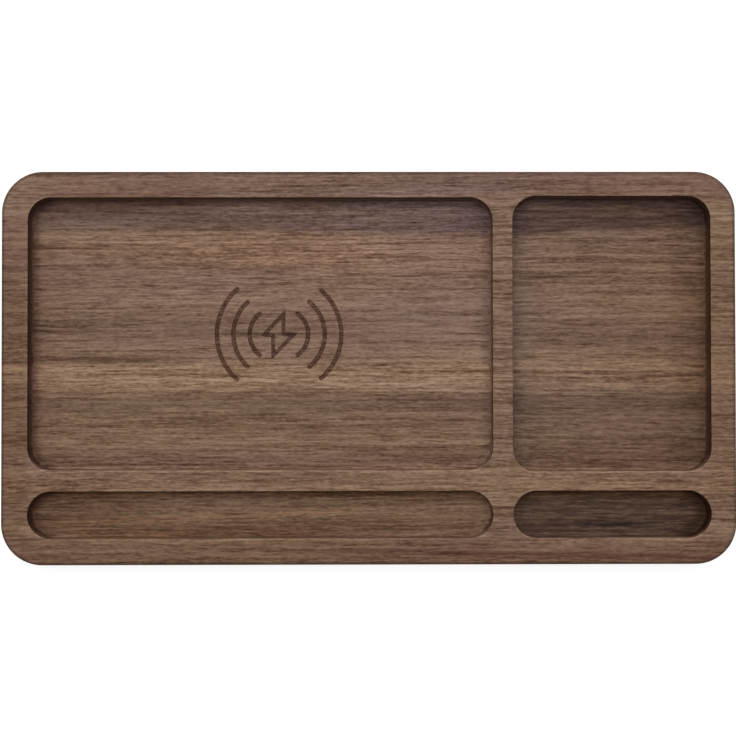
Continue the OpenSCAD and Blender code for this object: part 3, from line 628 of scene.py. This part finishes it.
def close_level(bm, z, box=None):
    """Closes the level face between all open edges at a height, inside a box (x, y, w, d) if given."""
    open_edges = [
        e for e in bm.edges
        if len(e.link_faces) < 2 and all(abs(v.co.z - z) < NEAR for v in e.verts)
        and (box is None or all(
            abs(v.co.x - box["x"]) < box["w"] / 2 and abs(v.co.y - box["y"]) < box["d"] / 2 for v in e.verts
        ))
    ]
    bmesh.ops.triangle_fill(bm, edges=open_edges, use_beauty=True, normal=UP)
    return len(open_edges)


# %% [markdown]
# ## Finishing a piece
# Every new piece is handed over in the same way. Its doubles are merged and its normals turned
# outwards, it is scaled from millimetres to metres, and it rides on the tray's one body. Its object
# stays at the origin, because the export puts every object there.


# %% Hand over a finished mesh
def as_object(name, bm, finishes):
    """A plain object with the mesh, still in millimetres."""
    bmesh.ops.remove_doubles(bm, verts=bm.verts, dist=MERGE)
    bmesh.ops.recalc_face_normals(bm, faces=bm.faces)
    mesh = bpy.data.meshes.new(name)
    bm.to_mesh(mesh)
    bm.free()
    for finish in finishes:
        mesh.materials.append(finish)
    made = bpy.data.objects.new(name, mesh)
    bpy.context.scene.collection.objects.link(made)
    return made


def hand_over(piece, nodes, sharp_degrees=35):
    """Brings a piece to metres, shades it, hangs it on the root body and hides the imported pieces it stands
    for.
    """
    piece.data.transform(Matrix.Scale(MM, 4))
    piece.data.shade_smooth()
    piece.data.set_sharp_from_angle(angle=math.radians(sharp_degrees))
    weighted = piece.modifiers.new("even_shading", "WEIGHTED_NORMAL")
    weighted.keep_sharp = True
    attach(piece, "root")
    if nodes:
        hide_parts(*nodes)
    print(f"{piece.name}: {len(piece.data.polygons)} faces")
    return piece


# %% [markdown]
# ## The slab and its pockets
# The outside is one profile carried round the slab: a rounded top edge, a straight side and a rounded
# bottom edge. Each pocket is another: an eased lip, the wall and the foot that a round-nosed cutter
# leaves. Then the level faces between the open edges are filled.

# %% Carry the profiles and fill the level faces
Y_AXIS = Vector((0, 1, 0))
EDGE_STEPS, CORNER_STEPS, LIP_STEPS, FOOT_STEPS, TURN_STEPS = 5, 24, 4, 6, 18
slab = bmesh.new()

half_w = slab_w / 2
carried_wall(
    slab, (half_w - edge_r, 0, TOP),
    [(Vector((half_w - edge_r, 0, TOP - edge_r)), Y_AXIS, 90, EDGE_STEPS),
     Vector((0, 0, 2 * edge_r - (TOP - UNDER))),
     (Vector((half_w - edge_r, 0, UNDER + edge_r)), Y_AXIS, 90, EDGE_STEPS)],
    round_path(slab_w, slab_d, corner_r, Vector((0, 0, 0)), CORNER_STEPS),
)

for p in pockets.values():
    middle, wall_x = Vector((p["x"], p["y"], 0)), p["x"] + p["w"] / 2
    carried_wall(
        slab, (wall_x + lip_r, p["y"], TOP),
        [(Vector((wall_x + lip_r, p["y"], TOP - lip_r)), Y_AXIS, -90, LIP_STEPS),
         Vector((0, 0, FLOOR + floor_r - (TOP - lip_r))),
         (Vector((wall_x - floor_r, p["y"], FLOOR + floor_r)), Y_AXIS, 90, FOOT_STEPS)],
        round_path(p["w"], p["d"], p["r"], middle, TURN_STEPS),
    )
bmesh.ops.remove_doubles(slab, verts=slab.verts, dist=NEAR)
print("edges round the top face:", close_level(slab, TOP))
print("edges round the underside:", close_level(slab, UNDER))
for name, p in pockets.items():
    print(f"edges round the floor of the {name}:", close_level(slab, FLOOR, p))
tray = as_object("walnut_tray", slab, [walnut, burnt])

# %% [markdown]
# ## What is cut with a cutter
# The rest of the cuts have plain shapes that run into each other, so they are made as separate bodies
# and taken away with booleans: the recess of the base cover, the round bay under the charging spot, the
# square bay behind it, the holes for screws and feet, and the opening for the socket. The opening's ends
# are a hair less than half circles, because a bevel that meets itself leaves edges without a length.

# %% Cutters
BLOCK_STEPS = 10


def cut_away(body, cutter):
    """Takes the cutter's volume out of the body. New faces get the cutter's finish."""
    change = body.modifiers.new("cut", "BOOLEAN")
    change.object, change.operation, change.solver = cutter, "DIFFERENCE", "EXACT"
    change.material_mode = "TRANSFER"
    graph = bpy.context.evaluated_depsgraph_get()
    mesh = bpy.data.meshes.new_from_object(body.evaluated_get(graph), depsgraph=graph)
    body.modifiers.clear()
    body.data = mesh
    bpy.data.objects.remove(cutter)


def drum(bm, x, y, r, low, high, sides):
    place = Matrix.Translation((x, y, (low + high) / 2))
    bmesh.ops.create_cone(
        bm, cap_ends=True, segments=sides, radius1=r, radius2=r, depth=high - low, matrix=place
    )


def round_block(bm, x, y, w, d, r, low, high, turn=None):
    """A block with round upright corners. A turn lays it down round its own middle."""
    made = bmesh.ops.create_cube(bm, size=1, matrix=Matrix.Diagonal((w, d, high - low, 1)))["verts"]
    upright = [
        e for e in bm.edges
        if e.verts[0] in made and abs(e.verts[0].co.z - e.verts[1].co.z) > NEAR
    ]
    bevelled = bmesh.ops.bevel(
        bm, geom=upright, offset=r, segments=BLOCK_STEPS, profile=0.5, affect="EDGES", material=-1
    )
    verts = list({v for v in made if v.is_valid} | {v for f in bevelled["faces"] for v in f.verts})
    if turn:
        bmesh.ops.transform(bm, matrix=turn, verts=verts)
    bmesh.ops.translate(bm, vec=(x, y, (low + high) / 2), verts=verts)


# %% [markdown]
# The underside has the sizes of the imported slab. Each cutter overruns the face that it starts from, so
# that no skin of wood is left there.

# %% Cut the underside
OVERRUN, HAIR = 1.0, 0.01
BAY_SIDES, SCREW_HOLE_SIDES, FOOT_HOLE_SIDES = 96, 24, 64
bay_r, bay_w, bay_corner_r, bay_rear_y, bay_roof, lid = 28.5, 48, 5, 79.65, 9, 4
cover_w, cover_d, cover_corner_r, cover_y = 74, 102.7, 8, 31.3
screw_x, screw_ys, screw_hole_r, screw_hole_top = 31.5, (-14.55, 31.3, 77.15), 1.5, 8.6
foot_x, foot_y, foot_hole_r, foot_sunk = 136, 61.65, 7.2, 1
port_w, port_h, port_z, rear_y = 11.7, 5.9, 6.98, slab_d / 2


def underside_cutters():
    """Yields one cutter after the other, so that each is a set of plain closed bodies."""
    low = UNDER - OVERRUN
    bm = bmesh.new()
    round_block(bm, spot.x, cover_y, cover_w, cover_d, cover_corner_r, low, lid)
    yield "cover_recess", bm
    bm = bmesh.new()
    drum(bm, spot.x, spot.y, bay_r, low, bay_roof, BAY_SIDES)
    yield "coil_bay", bm
    bm = bmesh.new()
    middle_y, length = (spot.y + bay_rear_y) / 2, bay_rear_y - spot.y
    round_block(bm, spot.x, middle_y, bay_w, length, bay_corner_r, low, bay_roof)
    yield "board_bay", bm
    bm = bmesh.new()
    for sx in (-1, 1):
        for y in screw_ys:
            drum(bm, spot.x + sx * screw_x, y, screw_hole_r, low, screw_hole_top, SCREW_HOLE_SIDES)
        for sy in (-1, 1):
            drum(bm, sx * foot_x, sy * foot_y, foot_hole_r, low, UNDER + foot_sunk, FOOT_HOLE_SIDES)
    yield "round_holes", bm
    bm = bmesh.new()
    length = rear_y + OVERRUN - (bay_rear_y - OVERRUN)
    round_block(bm, spot.x, bay_rear_y - OVERRUN + length / 2, port_w, port_h, port_h / 2 - HAIR,
                port_z - length / 2, port_z + length / 2, Matrix.Rotation(math.radians(90), 4, "X"))
    yield "port_hole", bm


for name, bm in underside_cutters():
    cut_away(tray, as_object(name, bm, [walnut]))
    print(f"after {name}: {len(tray.data.polygons)} faces")

# %% [markdown]
# ## The charging sign
# A laser burns the sign into the floor of the main pocket, a quarter of a millimetre deep: a flash with
# three arcs on each side. An arc is a short ribbon of wall, spun about its own centre and then given the
# width of the stroke. The arcs of one side are a little rounder than those of the other, as in a drawing
# made by eye, so each has a radius and an angle of its own. A bevel rounds the ends, as the laser's round
# spot does. The strokes stand half above the floor and half below it, and a boolean cuts them in.

# %% Burn the arcs
SIGN_DEPTH, ARC_STROKE = 0.25, 2.0
END_ROUNDING, END_TURN = 0.48 * ARC_STROKE, math.radians(60)
ARC_STEPS, END_STEPS = 28, 5
sign_x, sign_y = spot.x - 0.1, spot.y + 0.1
# Each arc: the side it is on, how far it reaches out, its radius and half its angle in degrees
ARCS = [
    (0, 27.4, 25.6, 51.5), (0, 20.1, 18.4, 54), (0, 12.8, 11.2, 59.5),
    (180, 27.5, 26.7, 50.5), (180, 20.2, 19.4, 50.5), (180, 13.0, 11.8, 55.5),
]


def stroke_of(ribbon, width):
    """Thickens an upright ribbon evenly to both sides."""
    body = as_object("ribbon", ribbon, [burnt])
    solid = body.modifiers.new("stroke", "SOLIDIFY")
    solid.thickness, solid.offset = width, 0
    solid.use_even_offset, solid.solidify_mode = True, "NON_MANIFOLD"
    graph = bpy.context.evaluated_depsgraph_get()
    thick = bmesh.new()
    thick.from_mesh(body.evaluated_get(graph).to_mesh())
    bpy.data.objects.remove(body)
    return thick


low, tall = FLOOR - SIGN_DEPTH, Vector((0, 0, 2 * SIGN_DEPTH))
strokes = bmesh.new()
for side, reach, radius, half in ARCS:
    ribbon = bmesh.new()
    start = math.radians(side - half)
    centre = Vector((sign_x + (reach - radius) * math.cos(math.radians(side)), sign_y, 0))
    foot = ribbon.verts.new(centre + Vector((radius * math.cos(start), radius * math.sin(start), low)))
    stake = drag(ribbon, [foot], [tall])
    drag(ribbon, stake, [(centre, UP, 2 * half, ARC_STEPS)])
    thick = stroke_of(ribbon, ARC_STROKE)
    ends = [
        e for e in thick.edges
        if e.calc_length() > SIGN_DEPTH and abs(e.verts[0].co.z - e.verts[1].co.z) > SIGN_DEPTH
        and e.calc_face_angle(0) > END_TURN
    ]
    bmesh.ops.bevel(
        thick, geom=ends, offset=END_ROUNDING, segments=END_STEPS, profile=0.5, affect="EDGES", material=-1
    )
    mesh = bpy.data.meshes.new("stroke")
    thick.to_mesh(mesh)
    thick.free()
    strokes.from_mesh(mesh)
cut_away(tray, as_object("arcs", strokes, [burnt]))
print("with the arcs:", len(tray.data.polygons), "faces")

# %% [markdown]
# The flash is a closed ribbon that gets its stroke in the same way, and a bevel rounds its two sharp
# tips. With that the tray is done.

# %% Burn the flash and hand the tray over
FLASH_STROKE, TIP_ROUNDING, TIP_TURN, TIP_STEPS = 1.7, 0.9, math.radians(100), 4
FLASH = [(1.9, 9.0), (-6.6, -0.05), (-2.7, -0.5), (-2.6, -9.3), (6.4, -0.1), (1.9, 0.25)]
flash = bmesh.new()
corners = [flash.verts.new((sign_x + x, sign_y + y, low)) for x, y in FLASH]
outline = [flash.edges.new(pair) for pair in zip(corners, corners[1:] + corners[:1])]
drag(flash, corners + outline, [tall])
thick = stroke_of(flash, FLASH_STROKE)
tips = [
    e for e in thick.edges
    if abs(e.verts[0].co.z - e.verts[1].co.z) > SIGN_DEPTH and e.calc_face_angle(0) > TIP_TURN
]
bmesh.ops.bevel(
    thick, geom=tips, offset=TIP_ROUNDING, segments=TIP_STEPS, profile=0.5, affect="EDGES", material=-1
)
cut_away(tray, as_object("flash", thick, [burnt]))

hand_over(tray, ["tray_body"])

# %% [markdown]
# ## Finishes of the small pieces
# Moulded plastic, rubber, metal and sintered ferrite differ in a few numbers: how coarse the texture
# is, how much the colour wanders, how rough the surface is and whether it is metal. What they share is a
# fine grain with soft patches in it, so that is a group, and brushed metal is the same grain stretched
# along one axis.

# %% Fine grain with soft patches
PATCH_SIZE, PATCH_CONTRAST = 8, 1.6
grain_group, grain_in, grain_out = new_group(
    "Fine grain",
    [("Place", "NodeSocketVector", None), ("Grain size", "NodeSocketVector", None)],
    [("Tone", "NodeSocketFloat"), ("Patches", "NodeSocketFloat"), ("Height", "NodeSocketFloat")],
)


def fill_grain(tree, inputs, output):
    in_grains = vector_calc(tree, "DIVIDE", inputs["Place"], inputs["Grain size"])
    coarse = stretched_noise(tree, in_grains, (PATCH_SIZE,) * 3, 3, 0.6, seed=1.9)
    fine = stretched_noise(tree, in_grains, (1, 1, 1), 3, 0.55, seed=4.2)
    patchy = calc(tree, "MULTIPLY_ADD", swing(tree, coarse), PATCH_CONTRAST, 0.5, clamp=True)
    tone = calc(tree, "MULTIPLY_ADD", fine, 0.5, calc(tree, "MULTIPLY", patchy, 0.5))
    fill_inputs(tree, output, {"Tone": tone, "Patches": coarse, "Height": fine})


fill_grain(grain_group, grain_in, grain_out)
print("Fine grain:", len(grain_group.nodes), "nodes")

# %% [markdown]
# One function places the group in a finish, and a table gives each piece its numbers. The CAD pieces
# keep their shape and only get their finish.

# %% One recipe, many finishes
PATCH_FADE, ROUGHNESS_SWING, DENT_STRENGTH = (0.3, 0.7), 0.06, 0.7


def small_finish(name, colour, grain, wander, roughness, metallic=0.0, dent_mm=0.01, coat=0.0):
    finish, tree, shader, place = new_finish(name)
    tone, patches, height = use_group(tree, grain_group, {"Place": place, "Grain size": grain})
    middle = paint(*colour)[:3]
    dark = (*(c * (1 - wander) for c in middle), 1)
    light = (*(min(1, c * (1 + wander)) for c in middle), 1)
    fill_inputs(tree, shader, {
        "Base Color": mix_colour(tree, tone, dark, light),
        "Roughness": between(
            tree, patches, *PATCH_FADE, roughness - ROUGHNESS_SWING, roughness + ROUGHNESS_SWING
        ),
        "Metallic": metallic,
        "Coat Weight": coat,
        "Normal": bump(tree, height, dent_mm, DENT_STRENGTH),
    })
    return finish


# Each finish: name, colour as on a screen, grain, wander, roughness, metallic, dents in millimetres and coat
FINISHES = {
    "base_cover": ("moulded_cover", (40, 41, 44), (0.25, 0.25, 0.25), 0.12, 0.55, 0.0, 0.02),
    "cover_screws": ("blackened_steel", (70, 70, 74), (0.6, 0.06, 0.2), 0.25, 0.38, 1.0, 0.005),
    "feet": ("silicone", (36, 36, 38), (0.18, 0.18, 0.18), 0.1, 0.72, 0.0, 0.008),
    "port_sleeve": ("moulded_sleeve", (34, 35, 37), (0.12, 0.12, 0.12), 0.12, 0.5, 0.0, 0.01),
    "foam_pad": ("open_foam", (74, 76, 80), (0.4, 0.4, 0.4), 0.35, 0.9, 0.0, 0.12),
    "coil_carrier": ("carrier_nylon", (214, 213, 205), (0.3, 0.3, 0.3), 0.05, 0.45, 0.0, 0.01),
    "ferrite_shield": ("sintered_ferrite", (58, 60, 64), (0.08, 0.08, 0.08), 0.3, 0.42, 0.0, 0.006),
    "charging_coil": ("litz_copper", (196, 124, 78), (0.5, 0.5, 0.12), 0.25, 0.32, 1.0, 0.03),
    "coil_tape": ("amber_tape", (196, 148, 72), (1.5, 1.5, 1.5), 0.1, 0.25, 0.0, 0.01, 0.6),
    "thermistor": ("sensor_epoxy", (38, 42, 52), (0.3, 0.3, 0.3), 0.15, 0.3, 0.0, 0.01, 0.4),
    "charger_board": ("board_mask", (28, 78, 54), (0.35, 0.35, 0.35), 0.18, 0.36, 0.0, 0.012, 0.5),
    "board_screws": ("zinc_steel", (176, 178, 180), (0.5, 0.08, 0.2), 0.12, 0.32, 1.0, 0.004),
    "usb_c_shell": ("nickel_shell", (188, 190, 194), (0.06, 1.2, 0.06), 0.08, 0.26, 1.0, 0.003),
    "usb_c_tongue": ("black_insulator", (26, 27, 29), (0.1, 0.1, 0.1), 0.1, 0.45, 0.0, 0.004),
    "usb_c_contacts": ("gold_contacts", (222, 182, 100), (0.05, 0.6, 0.05), 0.08, 0.22, 1.0, 0.002),
    "controller_chip": ("chip_epoxy", (34, 34, 36), (0.08, 0.08, 0.08), 0.15, 0.55, 0.0, 0.006),
    "bridge_transistors": ("glossy_epoxy", (36, 36, 38), (0.08, 0.08, 0.08), 0.15, 0.4, 0.0, 0.004),
    "resonant_capacitors": ("ceramic_tan", (176, 140, 98), (0.15, 0.15, 0.15), 0.12, 0.5, 0.0, 0.006),
    "input_capacitors": ("ceramic_brown", (160, 122, 84), (0.15, 0.15, 0.15), 0.12, 0.5, 0.0, 0.006),
    "power_inductor": ("inductor_ferrite", (66, 67, 70), (0.12, 0.12, 0.12), 0.25, 0.6, 0.0, 0.01),
}
FEET = ("foot_front_left", "foot_front_right", "foot_rear_left", "foot_rear_right")
for key, recipe in FINISHES.items():
    finish = small_finish(*recipe)
    for node in FEET if key == "feet" else (key,):
        frame["nodes"][node].data.materials.clear()
        frame["nodes"][node].data.materials.append(finish)
print(len(FINISHES), "finishes on", len(frame["nodes"]) - 1, "nodes")

# %% [markdown]
# ## The ground
# The tray lies on a white ground. It takes the tray's shadow, and a glow of its own lifts it to white.
# The glow grows with the distance from the tray, because the lamps fall off there. More light on a pale
# ground would do it too, but would burn out the wood. To light that bounces, the ground glows an even
# pale grey instead, which lights the tray from below, and from below it lets the camera through.

# %% Floor
WHITE = (1, 1, 1, 1)
GROUND_HALF, GROUND_GREY, GROUND_BOUNCE = 3000, 0.3, 0.55
GLOW_START, GLOW_FULL, NEAR_GLOW, FAR_GLOW = 0.25, 0.8, 0.88, 1.0

ground = bmesh.new()
bmesh.ops.create_grid(ground, x_segments=8, y_segments=8, size=GROUND_HALF)
floor = as_object("floor", ground, [])
floor.data.transform(Matrix.Scale(MM, 4))


def camera_rays(tree):
    """Two masks: what the camera sees straight on, and what it sees straight on or in gloss or glass."""
    rays = add(tree, "ShaderNodeLightPath").outputs
    straight = rays["Is Camera Ray"]
    indirect = calc(tree, "MAXIMUM", rays["Is Glossy Ray"], rays["Is Transmission Ray"])
    return straight, calc(tree, "MAXIMUM", straight, indirect)


def make_floor_finish():
    finish = bpy.data.materials.new("white_ground")
    finish.use_nodes = True
    tree = finish.node_tree
    tree.nodes.clear()
    straight, seen = camera_rays(tree)
    behind = add(tree, "ShaderNodeNewGeometry").outputs["Backfacing"]
    matt = add(tree, "ShaderNodeBsdfDiffuse", {"Color": (GROUND_GREY, GROUND_GREY, GROUND_GREY, 1)})
    away = length_of(tree, add(tree, "ShaderNodeTexCoord").outputs["Object"])
    glow = between(tree, away, GLOW_START, GLOW_FULL, NEAR_GLOW, FAR_GLOW)
    lift = add(tree, "ShaderNodeEmission", {"Color": WHITE, "Strength": glow})
    shown = add(tree, "ShaderNodeAddShader", {0: matt.outputs[0], 1: lift.outputs[0]})
    # Light that bounces sees the ground glow, which lights the tray's sides and underside
    bounce = add(tree, "ShaderNodeEmission", {"Color": WHITE, "Strength": GROUND_BOUNCE})
    top = add(tree, "ShaderNodeMixShader", {0: seen, 1: bounce.outputs[0], 2: shown.outputs[0]})
    clear = add(tree, "ShaderNodeBsdfTransparent")
    under = calc(tree, "MULTIPLY", behind, straight)
    both = add(tree, "ShaderNodeMixShader", {0: under, 1: top.outputs[0], 2: clear.outputs[0]})
    output = add(tree, "ShaderNodeOutputMaterial")
    tree.links.new(both.outputs[0], output.inputs["Surface"])
    return finish


floor.data.materials.append(make_floor_finish())
print("floor:", 2 * GROUND_HALF * MM, "m wide")

# %% [markdown]
# ## The light
# Two soft lamps stand behind the tray: a softbox high up does most of the work, and a low window further
# back reaches under the pockets' front lips. Both leave the rear walls in shade, and a faint even sky
# fills what they leave dark. Together they bring a level surface to about the colour that its finish is
# written in. Gloss and glass are shown a white sky, as the camera is.

# %% Sky and lamps
SKY = 0.07
LAMPS = {
    "softbox": dict(place=(-0.05, 0.37, 1.6), width=1.8, depth=0.78, watts=20.5),
    "window": dict(place=(-0.1, 2.3, 1.3), width=1.6, depth=0.8, watts=18.0),
}
world = bpy.data.worlds.new("studio")
bpy.context.scene.world = world
world.use_nodes = True
sky = world.node_tree
sky.nodes.clear()
strength = calc(sky, "MULTIPLY_ADD", camera_rays(sky)[1], 1.0 - SKY, SKY)
background = add(sky, "ShaderNodeBackground", {"Color": WHITE, "Strength": strength})
sky.links.new(background.outputs[0], add(sky, "ShaderNodeOutputWorld").inputs["Surface"])

for name, light in LAMPS.items():
    lamp_data = bpy.data.lights.new(name, "AREA")
    lamp_data.shape, lamp_data.energy = "RECTANGLE", light["watts"]
    lamp_data.size, lamp_data.size_y = light["width"], light["depth"]
    lamp = bpy.data.objects.new(name, lamp_data)
    lamp.location = light["place"]
    lamp.rotation_euler = (-lamp.location).to_track_quat("-Z", "Y").to_euler()
    bpy.context.scene.collection.objects.link(lamp)
    print(f"{name}: {light['watts']} W, {lamp.location.length:.2f} m from the tray")

# %% [markdown]
# ## The camera
# The tray is seen from straight above. Lens, place and tilt were found by laying the tray's outline and
# the edges of its pockets over the photograph.

# %% Camera
LENS_MM, SENSOR_MM = 78.6, 36
CAMERA_PLACE, CAMERA_TILT = (-0.0066, -0.0142, 0.7211), (1.153, -0.493, -0.080)

camera_data = bpy.data.cameras.new("camera")
camera_data.lens, camera_data.sensor_width = LENS_MM, SENSOR_MM
camera_data.clip_start, camera_data.clip_end = 0.05, 50
camera = bpy.data.objects.new("camera", camera_data)
camera.location = CAMERA_PLACE
camera.rotation_euler = [math.radians(a) for a in CAMERA_TILT]
bpy.context.scene.collection.objects.link(camera)
bpy.context.scene.camera = camera
bpy.context.scene.view_settings.view_transform = "Standard"
print("camera:", LENS_MM, "mm lens,", CAMERA_PLACE[2], "m above the ground")
